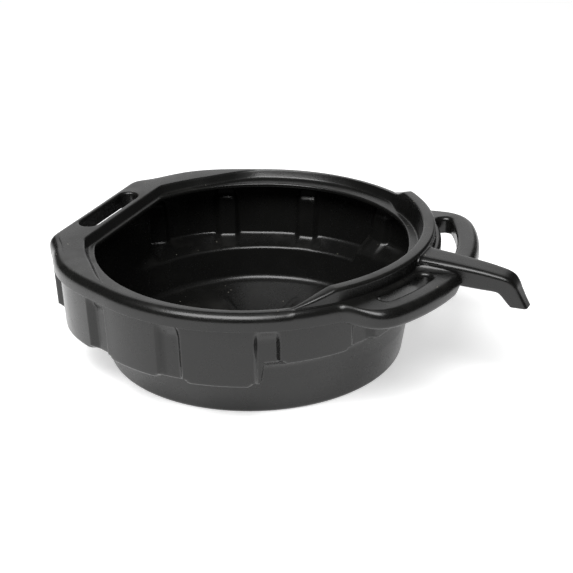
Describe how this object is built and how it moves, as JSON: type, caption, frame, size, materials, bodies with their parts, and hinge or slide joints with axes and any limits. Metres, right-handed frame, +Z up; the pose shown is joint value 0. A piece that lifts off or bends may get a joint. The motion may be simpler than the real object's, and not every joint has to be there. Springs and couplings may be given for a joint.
{
  "type": "oil drain pan",
  "caption": "Round blow-moulded plastic oil drain pan with a splash lip, raised guard, rear carry handle, loop handles and a hollow pour spout.",
  "frame": {"origin": "centre of the flat bottom face", "axes": "+Z up, +X from the centre towards the pour spout, -X towards the rear carry handle"},
  "size_m": [0.5815, 0.4629, 0.1645],
  "materials": {
    "pan_plastic": "satin black moulded polyethylene, fine scuffs on the raised faces"
  },
  "bodies": {
    "root": {"basin_floor": "pan_plastic", "basin_wall": "pan_plastic", "tier_floor_left": "pan_plastic", "tier_floor_right": "pan_plastic", "tier_floor_spout": "pan_plastic", "skirt_left": "pan_plastic", "skirt_right": "pan_plastic", "skirt_spout": "pan_plastic", "rear_wall": "pan_plastic", "splash_lip": "pan_plastic", "rim_bead_left": "pan_plastic", "rim_bead_right": "pan_plastic", "splash_guard": "pan_plastic", "spout_flange": "pan_plastic", "rear_handle": "pan_plastic", "loop_handle_left": "pan_plastic", "loop_handle_right": "pan_plastic", "pour_spout": "pan_plastic", "spout_tip": "pan_plastic"}
  },
  "joints": []
}
